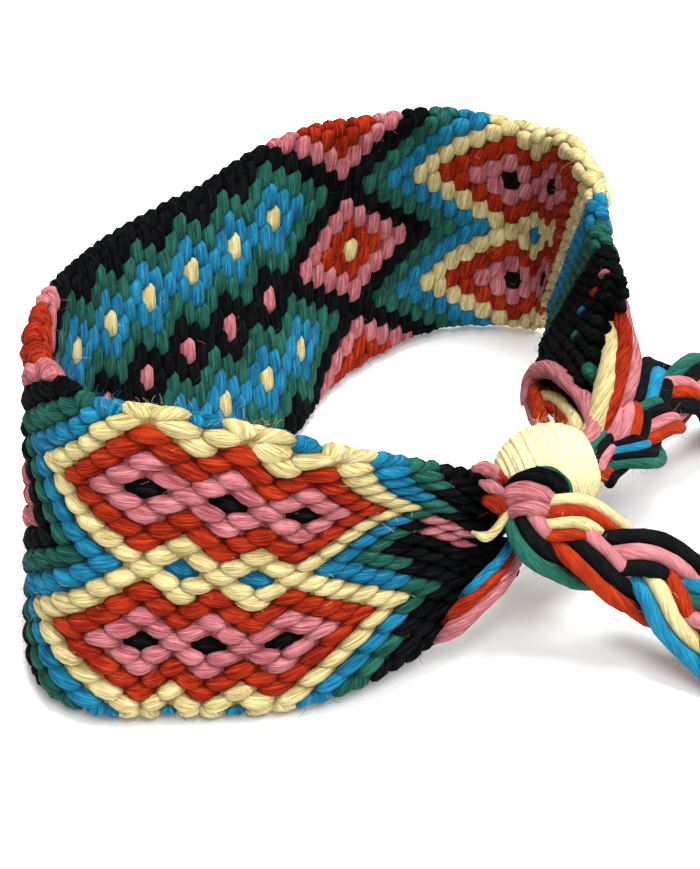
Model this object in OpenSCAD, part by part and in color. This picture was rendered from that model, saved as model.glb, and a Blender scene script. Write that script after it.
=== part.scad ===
// Knotted string bracelet: a wide knotted band standing on its lower edge in a closed loop,
// its end strings gathered into a round wound wrap, and two braided ties laid on the surface.
// Millimetres, +Z up, the band's lower edge on z = 0, the photo's camera looks along +Y.

/* [Band] */
// Width of the knotted band, from edge to edge
band_width = 30; // [26:0.5:32]
// Thickness of the knotted band
band_thick = 2.6; // [2:0.1:3]
// Share of the thickness that is left at the rounded edges
edge_share = 0.6; // [0.4:0.05:0.8]

/* [Wrap] */
// Diameter of the round wound wrap
wrap_diameter = 9.6; // [9:0.1:10]
// Height of the wrap's middle above the surface
wrap_height = 13.5; // [13:0.1:14]
// Depth to which the strings go into the wrap
socket_depth = 1.6; // [1:0.1:2]

/* [Strings] */
// Diameter of each gathered bundle of strings where it enters the wrap
bundle_diameter = 3.8; // [3.2:0.1:4]

/* [Ties] */
// Width of a braided tie
tie_width = 7; // [6:0.1:7.2]
// Length of one full turn of the braid
braid_pitch = 22.5; // [19:0.5:24]
// Thickness of one of the braid's three strands
strand_diameter = 2.25; // [2.1:0.05:2.35]
// Diameter of the knot at each tie's end
knot_diameter = 6.4; // [6:0.1:6.6]
// Length of the cut strings beyond that knot
tassel_length = 8; // [6:0.5:10]

/* [Hidden] */

clear_gap = 0.15;

// Band stations, one row every six knot columns, from the front end round to the back end.
// Columns: x and y of the middle line, lean of the top edge outwards and skew of the top edge
// towards the back end in degrees, share of the full width, height of the lower edge.
X = 0;
Y = 1;
LEAN = 2;
SKEW = 3;
SHARE = 4;
RAISE = 5;
stations = [
    [ 14.4, -20.5,   0, -15, 0.33, 4.0],
    [  6.1, -24.5, -23, -14, 0.58, 2.4],
    [ -2.4, -26.9, -20, -14, 0.82, 0.2],
    [-11.6, -27.4, -19,  -8, 0.97, 0.0],
    [-20.8, -26.3, -18,   2, 1.02, 0.0],
    [-25.5, -18.0,  -8,   9, 1.00, 0.0],
    [-25.0,  -9.0,   2,   9, 1.00, 0.0],
    [-20.5,  -1.5,  13,   5, 1.00, 0.0],
    [-15.5,   6.0,  18,   5, 1.00, 0.0],
    [-10.0,  13.0,  20,   8, 1.00, 0.0],
    [ -5.0,  20.5,  13,   7, 1.00, 0.0],
    [  2.0,  26.0,   0,  -2, 1.00, 0.0],
    [ 10.0,  29.5,  -7,  -2, 1.00, 0.0],
    [ 19.5,  29.1,  -4,   4, 0.91, 0.0],
    [ 22.7,  20.9,   3,  33, 1.00, 4.2],
    [ 23.0,  11.8,  15,  32, 0.79, 5.8],
    [ 22.6,   2.9,  27,  16, 0.66, 7.5]
];
station_step = 6;
first_column = -48;
band_end = 45;
ring_step = 1.8;

// Shift of the whole, which puts the middle of the band, strings and wrap on the origin.
shift = [0.45, 0.2, 0];

// The wrap's middle, and the ways in which the strings leave it: azimuth and elevation.
wrap_x = 19.4;
wrap_y = -13.5;
front_strings_way = [216, -10];
back_strings_way = [84, 8];

// Routes of the two ties' middle lines, from the wrap down to the surface.
front_route = [[17.2, -19.5, 13.4], [18.1, -21.3, 12.9], [19.9, -22.5, 12.1], [22.4, -23.0, 11.0],
               [25.2, -23.3, 9.6], [28.0, -23.7, 8.1], [30.6, -24.7, 6.5], [33.0, -26.5, 5.1],
               [35.6, -28.6, 4.0], [38.6, -30.3, 3.4], [41.8, -31.2, 3.3], [45.2, -31.7, 3.3],
               [48.6, -31.8, 3.3]];
back_route = [[24.9, -11.4, 13.2], [26.8, -9.2, 13.1], [28.3, -6.0, 12.9], [29.3, -2.5, 12.5],
              [30.7, 1.0, 11.6], [32.7, 4.2, 10.2], [35.2, 6.9, 8.4], [38.1, 9.1, 6.4],
              [41.4, 10.6, 4.7], [44.8, 11.6, 3.6], [48.1, 12.4, 3.3], [51.3, 13.4, 3.3]];
tie_rings = 32;
neck_share = 0.55;
neck_length = 7;
end_gap = 0.8;

// Unit vector of an azimuth and an elevation.
function way(a) = [cos(a[1]) * cos(a[0]), cos(a[1]) * sin(a[0]), sin(a[1])];
function unit(v) = v / norm(v);
function mix(a, b, t) = a * (1 - t) + b * t;
function ease(t) = let (c = min(max(t, 0), 1)) c * c * (3 - 2 * c);
function total(list, n) = n <= 0 ? 0 : list[n - 1] + total(list, n - 1);

// Smooth curve through evenly spaced rows, carried on straight past both ends.
function through(a, b, c, d, t) =
    0.5 * (2 * b + (c - a) * t + (2 * a - 5 * b + 4 * c - d) * t * t
           + (3 * b - a - 3 * c + d) * t * t * t);
function on_rows(rows, s) =
    let (n = len(rows),
         i = min(max(floor(s), 0), n - 2),
         before = i > 0 ? rows[i - 1] : 2 * rows[0] - rows[1],
         after = i < n - 2 ? rows[i + 2] : 2 * rows[n - 1] - rows[n - 2])
    through(before, rows[i], rows[i + 1], after, s - i);
function station(u) = on_rows(stations, (u - first_column) / station_step);
function raised(row) = max(row[RAISE], 0);

// Frame of the band at knot column u: middle point, way along, way across (up), way outwards.
function band_frame(u) =
    let (row = station(u),
         ahead = station(u + 0.25) - station(u - 0.25),
         along = unit([ahead[X], ahead[Y], 0]),
         side = [-along[1], along[0], 0],
         across = unit(cos(row[LEAN]) * cos(row[SKEW]) * [0, 0, 1]
                       + sin(row[LEAN]) * side + sin(row[SKEW]) * along),
         out = -unit(cross(along, across)),
         half = band_width / 2 * row[SHARE])
    [[row[X], row[Y], raised(row) + across[2] * half], along, across * half, out];

// One closed ring of the band: rounded edges, and a lower edge that is level.
edge_inset = 0.93;
band_profile = [[-1, edge_share], [-edge_inset, 1], [edge_inset, 1], [1, edge_share],
                [1, -edge_share], [edge_inset, -1], [-edge_inset, -1], [-1, -edge_share]];
function band_ring(u) =
    let (f = band_frame(u), floor_z = raised(station(u)))
    [for (p = band_profile)
        let (q = f[0] + f[2] * p[0] + f[3] * p[1] * band_thick / 2)
        [q[0], q[1], p[0] == -1 ? floor_z : q[2]]];

// Solid skin over a list of rings that have the same number of points.
module skin(rings) {
    m = len(rings[0]);
    n = len(rings);
    points = [for (r = rings, q = r) q + shift];
    sides = [for (i = [0:n - 2], j = [0:m - 1])
        let (k = (j + 1) % m, a = i * m + j, b = i * m + k)
        each [[a, b, b + m], [a, b + m, a + m]]];
    caps = [[for (j = [m - 1:-1:0]) j], [for (j = [0:m - 1]) (n - 1) * m + j]];
    polyhedron(points = points, faces = concat(sides, caps), convexity = 8);
}

module band() {
    rings = [for (u = [-band_end:ring_step:band_end]) band_ring(u)];
    color("#1e785a") skin(rings);
}

wrap_middle = [wrap_x, wrap_y, wrap_height];
bundle_start = 0.25;

// Gathered strings: a flat oval at the band's end that closes to a round bundle in the wrap.
bundle_rings = 9;
bundle_sides = 12;
function bezier(a, b, c, d, t) =
    a * pow(1 - t, 3) + b * 3 * t * pow(1 - t, 2) + c * 3 * t * t * (1 - t) + d * pow(t, 3);
function bundle_ring(f, ahead, target, aim, t) =
    let (reach = norm(target - f[0]) * 0.4,
         start = f[0] + ahead * bundle_start,
         q = bezier(start, start + ahead * reach, target + aim * reach, target, t),
         end_side = unit(cross([0, 0, 1], -aim)),
         side = unit(mix(unit(cross(f[2], ahead)), end_side, ease(t))),
         level = unit(mix(unit(f[2]), unit(cross(-aim, end_side)), ease(t))),
         high = mix(norm(f[2]) * 0.92, bundle_diameter / 2, ease(t * 1.15)),
         wide = mix(band_thick * 0.42, bundle_diameter / 2, ease(t)))
    [for (k = [0:bundle_sides - 1])
        let (a = 360 * k / bundle_sides)
        q + level * high * cos(a) + side * wide * sin(a)];
module strings(u, aim) {
    f = band_frame(u);
    ahead = sign(u) * f[1];
    target = wrap_middle + aim * (wrap_diameter / 2 - socket_depth + clear_gap);
    skin([for (i = [0:bundle_rings - 1])
        bundle_ring(f, ahead, target, aim, i / (bundle_rings - 1))]);
}
module front_strings() {
    color("#e08a95") strings(-band_end, way(front_strings_way));
}
module back_strings() {
    color("#d93a10") strings(band_end, way(back_strings_way));
}

// Round wound wrap, with a socket for each bundle of strings.
module socket(a) {
    rotate([0, 90 - a[1], a[0]])
        translate([0, 0, wrap_diameter / 2 - socket_depth])
            cylinder(d = bundle_diameter + 2 * clear_gap, h = 2 * socket_depth, $fn = 48);
}
module wrap() {
    color("#f5e6a0")
        translate(wrap_middle + shift)
            difference() {
                sphere(d = wrap_diameter, $fn = 64);
                socket(front_strings_way);
                socket(back_strings_way);
            }
}

// One strand of a braid. The three strands go round a flat eight, a third of a turn apart.
braid_wide = (tie_width - strand_diameter) / 2;
braid_high = 0.9 * strand_diameter;
strand_sides = 8;
function route_length(route) =
    total([for (i = [0:len(route) - 2]) norm(route[i + 1] - route[i])], len(route) - 1);
function strand_middle(route, s, third) =
    let (n = len(route) - 1,
         q = on_rows(route, s * n),
         line = unit(on_rows(route, s * n + 0.05) - on_rows(route, s * n - 0.05)),
         side = unit(cross(line, [0, 0, 1])),
         level = cross(side, line),
         run = s * route_length(route),
         size = mix(neck_share, 1, ease(run / neck_length)),
         a = 360 * (run / braid_pitch + third / 3))
    [q + side * size * braid_wide * sin(a) + level * size * braid_high * sin(2 * a), size];
function strand_ring(route, s, third) =
    let (e = 0.004,
         m = strand_middle(route, s, third),
         line = unit(strand_middle(route, s + e, third)[0] - strand_middle(route, s - e, third)[0]),
         side = unit(cross(line, [0, 0, 1])),
         level = cross(side, line))
    [for (k = [0:strand_sides - 1])
        let (a = 360 * k / strand_sides)
        m[0] + (side * cos(a) - level * sin(a)) * m[1] * strand_diameter / 2];
module strand(route, third) {
    skin([for (i = [0:tie_rings - 1]) strand_ring(route, i / (tie_rings - 1), third)]);
}

// End of a tie: a round knot and the cut strings beyond it, lying on the surface.
module tie_end(route) {
    last = route[len(route) - 1];
    line = unit(last - route[len(route) - 2]);
    r = knot_diameter / 2;
    translate([last[0], last[1], r] + [line[0], line[1], 0] * (r + end_gap) + shift)
        rotate([0, 90, atan2(line[1], line[0])])
            union() {
                sphere(r = r, $fn = 48);
                cylinder(r1 = r * 0.6, r2 = r * 0.8, h = r + tassel_length, $fn = 48);
            }
}

module front_tie_1() { color("#1e785a") strand(front_route, 0); }
module front_tie_2() { color("#f5e6a0") strand(front_route, 1); }
module front_tie_3() { color("#222222") strand(front_route, 2); }
module front_tie_end() { color("#e08a95") tie_end(front_route); }
module back_tie_1() { color("#1a8fd0") strand(back_route, 0); }
module back_tie_2() { color("#e08a95") strand(back_route, 1); }
module back_tie_3() { color("#222222") strand(back_route, 2); }
module back_tie_end() { color("#1a8fd0") tie_end(back_route); }

band();
front_strings();
back_strings();
wrap();
front_tie_1();
front_tie_2();
front_tie_3();
front_tie_end();
back_tie_1();
back_tie_2();
back_tie_3();
back_tie_end();
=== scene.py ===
"""Looks of a knotted string bracelet: knots, gathered strings, wound wrap and braided ties.

Lengths in the classes are in millimetres, but for the lamps and the floor, which are in metres.
The meshes are written in metres.
"""
from __future__ import annotations

import logging
import math
import random
from dataclasses import dataclass, field
from enum import Enum

import bmesh
import bpy
import numpy as np
from mathutils import Matrix, Vector

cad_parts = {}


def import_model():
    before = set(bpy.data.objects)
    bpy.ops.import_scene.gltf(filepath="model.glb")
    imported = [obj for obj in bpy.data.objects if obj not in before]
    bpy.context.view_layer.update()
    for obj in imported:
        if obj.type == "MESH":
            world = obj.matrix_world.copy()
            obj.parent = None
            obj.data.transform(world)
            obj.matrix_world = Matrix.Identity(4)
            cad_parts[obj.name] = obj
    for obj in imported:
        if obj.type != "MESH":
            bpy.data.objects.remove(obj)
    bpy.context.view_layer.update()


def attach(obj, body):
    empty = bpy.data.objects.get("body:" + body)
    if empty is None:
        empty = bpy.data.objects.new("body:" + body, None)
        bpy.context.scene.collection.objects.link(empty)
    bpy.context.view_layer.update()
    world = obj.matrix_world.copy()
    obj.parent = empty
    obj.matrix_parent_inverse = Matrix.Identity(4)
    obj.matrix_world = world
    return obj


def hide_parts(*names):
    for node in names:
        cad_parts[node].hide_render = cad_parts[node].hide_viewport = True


LOG = logging.getLogger("string_bracelet")
MM = 0.001
# from the origin that the band, the ties and the wrap are written about to that of the solids
SHIFT = np.array([0.45, 0.20, 0.0])
UP = np.array([0.0, 0.0, 1.0])
FIBRE_MAP = "fibre"
# attributes of the mesh: the share of painted shade in the creases, and of painted light
PAINTED_CREASE_SHADE = "painted_crease_shade"
PAINTED_LIGHT = "painted_light"


class Yarn(Enum):
    """The six yarns of the bracelet, named as the record's material slots."""

    BLACK = "black_yarn"
    GREEN = "green_yarn"
    BLUE = "blue_yarn"
    YELLOW = "yellow_yarn"
    ORANGE = "orange_yarn"
    PINK = "pink_yarn"


class Tuck(Enum):
    """Where along its weave a braid's string lies under its neighbours: a phase in degrees."""

    NEVER = -1
    NEAR = 45
    FAR = 225


def unit(v: np.ndarray) -> np.ndarray:
    """Return vectors of length one along the last axis."""
    return v / np.maximum(np.linalg.norm(v, axis=-1, keepdims=True), 1e-12)


def ease(t: np.ndarray | float) -> np.ndarray | float:
    """Return the smooth step of t from 0 to 1."""
    c = np.clip(t, 0.0, 1.0)
    return c * c * (3.0 - 2.0 * c)


def through(rows: np.ndarray, s: np.ndarray) -> np.ndarray:
    """Follow a smooth curve through evenly spaced rows, straight on past both ends.

    Args:
        rows: one row of values for each station.
        s: places along the rows, counted in rows.

    Returns:
        One row of values for each place.
    """
    n = len(rows)
    i = np.clip(np.floor(s), 0, n - 2).astype(int)
    t = (s - i)[:, None]
    padded = np.vstack([2 * rows[0] - rows[1], rows, 2 * rows[-1] - rows[-2]])
    a, b, c, d = padded[i], padded[i + 1], padded[i + 2], padded[i + 3]
    return 0.5 * (2 * b + (c - a) * t + (2 * a - 5 * b + 4 * c - d) * t**2
                  + (3 * b - a - 3 * c + d) * t**3)


def cell(place: float, count: int) -> int:
    """Return which line of a grid a vertex is on, by its place from -1 to 1 over count cells."""
    return round((place + 1.0) / 2.0 * count)


def bezier(a: np.ndarray, b: np.ndarray, c: np.ndarray, d: np.ndarray, n: int) -> np.ndarray:
    """Return n points of a cubic curve from a to d with handles b and c."""
    t = np.linspace(0.0, 1.0, n)[:, None]
    return a * (1 - t)**3 + b * 3 * t * (1 - t)**2 + c * 3 * t * t * (1 - t) + d * t**3


class ShaderBench:
    """Adds nodes to one material and links them."""

    # sockets of a mix of colours, which share their names with those of its other modes
    MIX_SHARE = 0
    MIX_BASE = 6
    MIX_OTHER = 7
    MIX_RESULT = 2

    def __init__(self, tree: bpy.types.NodeTree) -> None:
        """Keep the material's nodes."""
        self.tree = tree

    def attribute(self, name: str) -> bpy.types.NodeSocket:
        """Return the value of one attribute of the mesh."""
        node = self.tree.nodes.new("ShaderNodeAttribute")
        node.attribute_name = name
        return node.outputs["Fac"]

    def stretched(self, place: bpy.types.NodeSocket,
                  scale: tuple[float, float, float]) -> bpy.types.NodeSocket:
        """Return a place with its own scale along each axis."""
        node = self.tree.nodes.new("ShaderNodeMapping")
        node.inputs["Scale"].default_value = scale
        self.tree.links.new(place, node.inputs["Vector"])
        return node.outputs["Vector"]

    def noise(self, place: bpy.types.NodeSocket, detail: float, scale: float = 1.0,
              roughness: float = 0.5, distortion: float = 0.0) -> bpy.types.NodeSocket:
        """Add a noise texture.

        Args:
            place: the place that it reads.
            detail: how many finer layers it has.
            scale: repeats for each unit of the place.
            roughness: how strong the finer layers are.
            distortion: how far it is bent.

        Returns:
            Its value, from 0 to 1.
        """
        node = self.tree.nodes.new("ShaderNodeTexNoise")
        node.inputs["Scale"].default_value = scale
        node.inputs["Detail"].default_value = detail
        node.inputs["Roughness"].default_value = roughness
        node.inputs["Distortion"].default_value = distortion
        self.tree.links.new(place, node.inputs["Vector"])
        return node.outputs["Fac"]

    def blend(self, first: bpy.types.NodeSocket, second: bpy.types.NodeSocket,
              share: float) -> bpy.types.NodeSocket:
        """Return two values mixed, with a fixed share of the second."""
        node = self.tree.nodes.new("ShaderNodeMix")
        node.inputs["Factor"].default_value = share
        self.tree.links.new(first, node.inputs["A"])
        self.tree.links.new(second, node.inputs["B"])
        return node.outputs["Result"]

    def towards(self, base: bpy.types.NodeSocket, colour: tuple[float, float, float],
                share: bpy.types.NodeSocket) -> bpy.types.NodeSocket:
        """Lead one colour towards a fixed one.

        Args:
            base: the colour where the share is 0.
            colour: the colour where it is 1.
            share: how far it goes.

        Returns:
            The colour between the two.
        """
        node = self.tree.nodes.new("ShaderNodeMix")
        node.data_type = "RGBA"
        node.inputs[self.MIX_OTHER].default_value = (*colour, 1.0)
        self.tree.links.new(share, node.inputs[self.MIX_SHARE])
        self.tree.links.new(base, node.inputs[self.MIX_BASE])
        return node.outputs[self.MIX_RESULT]


@dataclass(frozen=True)
class YarnFinish:
    """Matt, slightly hairy yarn whose fibres run along its own map."""

    yarn: Yarn
    # the yarn's three tones; deep is also the colour of the painted shade in the creases, and
    # light that of the painted light
    deep: tuple[float, float, float]
    body: tuple[float, float, float]
    light: tuple[float, float, float]
    # where on the ramp the three tones stand
    tone_places: tuple[float, float, float] = (0.39, 0.49, 0.60)
    sheen: float = 0.02
    sheen_roughness: float = 0.45
    roughness: float = 0.86
    gloss: float = 0.08
    # scales along and across the fibre map, whose unit is a millimetre
    streak_scale: tuple[float, float, float] = (0.32, 4.2, 1.0)
    hair_scale: tuple[float, float, float] = (0.9, 15.0, 1.0)
    hair_share: float = 0.45
    # repeats in a metre of the piece
    patch_scale: float = 420.0
    patch_share: float = 0.15
    relief: float = 1.0
    # less relief where light is painted on
    relief_lost_in_painted_light: float = 1.2
    relief_height: float = 0.5 * MM

    def material(self) -> bpy.types.Material:
        """Build the yarn's material.

        Returns:
            The material, with streaks and relief along the fibres.
        """
        mat = bpy.data.materials.new(self.yarn.value)
        mat.use_nodes = True
        mat.diffuse_color = (*self.body, 1.0)
        tree = mat.node_tree
        bsdf = tree.nodes["Principled BSDF"]
        bsdf.inputs["Roughness"].default_value = self.roughness
        bsdf.inputs["Specular IOR Level"].default_value = self.gloss
        bsdf.inputs["Sheen Weight"].default_value = self.sheen
        bsdf.inputs["Sheen Roughness"].default_value = self.sheen_roughness
        bench = ShaderBench(tree)
        fibres = self.fibres(bench)
        tree.links.new(self.colour(bench, fibres), bsdf.inputs["Base Color"])
        tree.links.new(self.bump(bench, fibres), bsdf.inputs["Normal"])
        return mat

    def fibres(self, bench: ShaderBench) -> bpy.types.NodeSocket:
        """Return the pattern of streaks and fine hairs along the yarn."""
        uv = bench.tree.nodes.new("ShaderNodeUVMap")
        uv.uv_map = FIBRE_MAP
        streak = bench.noise(bench.stretched(uv.outputs["UV"], self.streak_scale), detail=4.0,
                             roughness=0.62, distortion=0.25)
        hair = bench.noise(bench.stretched(uv.outputs["UV"], self.hair_scale), detail=2.0,
                           roughness=0.6)
        return bench.blend(streak, hair, self.hair_share)

    def colour(self, bench: ShaderBench, fibres: bpy.types.NodeSocket) -> bpy.types.NodeSocket:
        """Colour the yarn by its fibres, with painted shade in its creases and painted light where
        the piece asks for it.

        Args:
            bench: adds the nodes.
            fibres: the pattern along the yarn.

        Returns:
            The colour.
        """
        place = bench.tree.nodes.new("ShaderNodeTexCoord")
        patch = bench.noise(place.outputs["Object"], detail=2.0, scale=self.patch_scale)
        ramp = bench.tree.nodes.new("ShaderNodeValToRGB")
        tones = ramp.color_ramp
        tones.interpolation = "B_SPLINE"
        first, last = tones.elements[0], tones.elements[1]
        first.position, first.color = self.tone_places[0], (*self.deep, 1.0)
        last.position, last.color = self.tone_places[2], (*self.light, 1.0)
        tones.elements.new(self.tone_places[1]).color = (*self.body, 1.0)
        tone = bench.blend(fibres, patch, self.patch_share)
        bench.tree.links.new(tone, ramp.inputs["Fac"])
        # painted shade towards the deep tone in the creases, then painted light towards the light
        # tone
        shaded = bench.towards(ramp.outputs["Color"], self.deep, bench.attribute(PAINTED_CREASE_SHADE))
        return bench.towards(shaded, self.light, bench.attribute(PAINTED_LIGHT))

    def bump(self, bench: ShaderBench, fibres: bpy.types.NodeSocket) -> bpy.types.NodeSocket:
        """Raise the fibres, less where light is painted on.

        Args:
            bench: adds the nodes.
            fibres: the pattern along the yarn.

        Returns:
            The surface's direction.
        """
        strength = bench.tree.nodes.new("ShaderNodeMath")
        strength.operation = "MULTIPLY_ADD"
        strength.use_clamp = True
        strength.inputs[1].default_value = -self.relief_lost_in_painted_light
        strength.inputs[2].default_value = self.relief
        bump = bench.tree.nodes.new("ShaderNodeBump")
        bump.inputs["Distance"].default_value = self.relief_height
        bench.tree.links.new(bench.attribute(PAINTED_LIGHT), strength.inputs[0])
        bench.tree.links.new(strength.outputs["Value"], bump.inputs["Strength"])
        bench.tree.links.new(fibres, bump.inputs["Height"])
        return bump.outputs["Normal"]


class YarnBasket:
    """Hands out one material for each yarn."""

    def __init__(self) -> None:
        """Set the finish of each yarn."""
        finishes = [
            YarnFinish(Yarn.BLACK, (0.0003, 0.0003, 0.0004), (0.0010, 0.0012, 0.0014),
                       (0.009, 0.010, 0.011), sheen=0.0, gloss=0.03),
            YarnFinish(Yarn.GREEN, (0.001, 0.014, 0.010), (0.003, 0.052, 0.035),
                       (0.022, 0.155, 0.110)),
            YarnFinish(Yarn.BLUE, (0.0008, 0.034, 0.080), (0.002, 0.110, 0.205),
                       (0.018, 0.250, 0.430)),
            YarnFinish(Yarn.YELLOW, (0.240, 0.155, 0.034), (0.480, 0.390, 0.165),
                       (0.730, 0.640, 0.350)),
            YarnFinish(Yarn.ORANGE, (0.070, 0.0015, 0.0004), (0.215, 0.008, 0.0015),
                       (0.480, 0.045, 0.007), sheen=0.0),
            YarnFinish(Yarn.PINK, (0.165, 0.020, 0.029), (0.350, 0.088, 0.102),
                       (0.600, 0.250, 0.258)),
        ]
        self.materials = {f.yarn: f.material() for f in finishes}

    def dress(self, obj: bpy.types.Object, yarn: Yarn) -> None:
        """Give a piece its yarn's material."""
        obj.data.materials.clear()
        obj.data.materials.append(self.materials[yarn])


@dataclass
class BandShape:
    """The curved surface on which the band's knots sit."""

    # distance from one knot column and row to the next
    along_pitch: float = 1.51
    across_pitch: float = 1.15
    width: float = 30.0
    edge_row: int = 12
    # the rows crowd upwards towards the front end
    crowding: float = 5.0
    crowded_from: float = 32.6
    crowded_over: float = 13.0
    # the upper corner of the front end slips back along the band
    slip: float = 5.0
    slip_from: float = 25.8
    slip_over: float = 15.7
    slip_row: float = 3.0
    slip_sharpness: float = 5.6
    # beyond this height from the middle line the edges roll over
    flat_half: float = 13.0
    roll_radius: float = 1.15
    # the stations stand this many columns apart, from the first one's column at the front end
    station_step: float = 6.0
    first_column: float = -48.0
    # x, y, lean and skew in degrees, share of the width, height of the lower edge
    stations: list[list[float]] = field(default_factory=lambda: [
        [14.4, -20.5, 0, -15, 0.33, 4.0],
        [6.1, -24.5, -23, -14, 0.58, 2.4],
        [-2.4, -26.9, -20, -14, 0.82, 0.2],
        [-11.6, -27.4, -19, -8, 0.97, 0.0],
        [-20.8, -26.3, -18, 2, 1.02, 0.0],
        [-25.5, -18.0, -8, 9, 1.00, 0.0],
        [-25.0, -9.0, 2, 9, 1.00, 0.0],
        [-20.5, -1.5, 13, 5, 1.00, 0.0],
        [-15.5, 6.0, 18, 5, 1.00, 0.0],
        [-10.0, 13.0, 20, 8, 1.00, 0.0],
        [-5.0, 20.5, 13, 7, 1.00, 0.0],
        [2.0, 26.0, 0, -2, 1.00, 0.0],
        [10.0, 29.5, -7, -2, 1.00, 0.0],
        [19.5, 29.1, -4, 4, 0.91, 0.0],
        [22.7, 20.9, 3, 33, 1.00, 4.2],
        [23.0, 11.8, 15, 32, 0.79, 5.8],
        [22.6, 2.9, 27, 16, 0.66, 7.5],
    ])

    def frames(self, u: np.ndarray) -> tuple[np.ndarray, ...]:
        """Return the band's middle points and directions at knot columns.

        Args:
            u: knot columns, counted from the middle of the band.

        Returns:
            Middle points, ways along, ways across, ways outwards, and shares of the width.
        """
        rows = np.array(self.stations, float)
        place = (u - self.first_column) / self.station_step
        x, y, lean, skew, share, low = through(rows, place).T
        quarter = 0.25 / self.station_step
        ahead = through(rows, place + quarter) - through(rows, place - quarter)
        zero = np.zeros(len(u))
        along = unit(np.stack([ahead[:, 0], ahead[:, 1], zero], 1))
        side = np.stack([-along[:, 1], along[:, 0], zero], 1)
        lean, skew = np.radians(lean)[:, None], np.radians(skew)[:, None]
        across = unit(np.cos(lean) * np.cos(skew) * UP + np.sin(lean) * side
                      + np.sin(skew) * along)
        out = unit(np.cross(across, along))
        height = np.maximum(low, 0.0) + across[:, 2] * self.width / 2 * share
        middle = np.stack([x, y, height], 1) + SHIFT
        return middle, along, across, out, share

    def place(self, u: np.ndarray, w: np.ndarray, out: np.ndarray) -> np.ndarray:
        """Put points on the band, whose edges are rolled over.

        Args:
            u: knot columns.
            w: knot rows, counted from the middle line upwards, on over the edge.
            out: distance outwards from the band's middle surface.

        Returns:
            The points.
        """
        middle, along, across, away, share = self.frames(u)
        inner = np.minimum(np.abs(w) / self.edge_row, 1.0)
        crowded = ease((-u - self.crowded_from) / self.crowded_over)
        w = w + self.crowding * crowded * (1.0 - inner**2)
        corner = np.clip((w - self.slip_row) / (self.edge_row - self.slip_row), 0.0, 1.0)
        slipped = ease((-u - self.slip_from) / self.slip_over)
        pull = -self.slip * slipped * corner**self.slip_sharpness
        reach = np.abs(w) * self.across_pitch
        over = np.maximum(reach - self.flat_half, 0.0)
        turn = np.minimum(over / self.roll_radius, math.pi)
        beyond = over - turn * self.roll_radius
        flat = (np.minimum(reach, self.flat_half) - beyond) * share
        rise = np.sign(w) * (flat + np.abs(out) * np.sin(turn))
        return (middle + across * rise[:, None] + away * (out * np.cos(turn))[:, None]
                + along * pull[:, None])

    @staticmethod
    def last_column(sense: int) -> int:
        """Return the last knot column at the front end (-1) or the back end (1)."""
        return 46 if sense > 0 else 45


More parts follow.
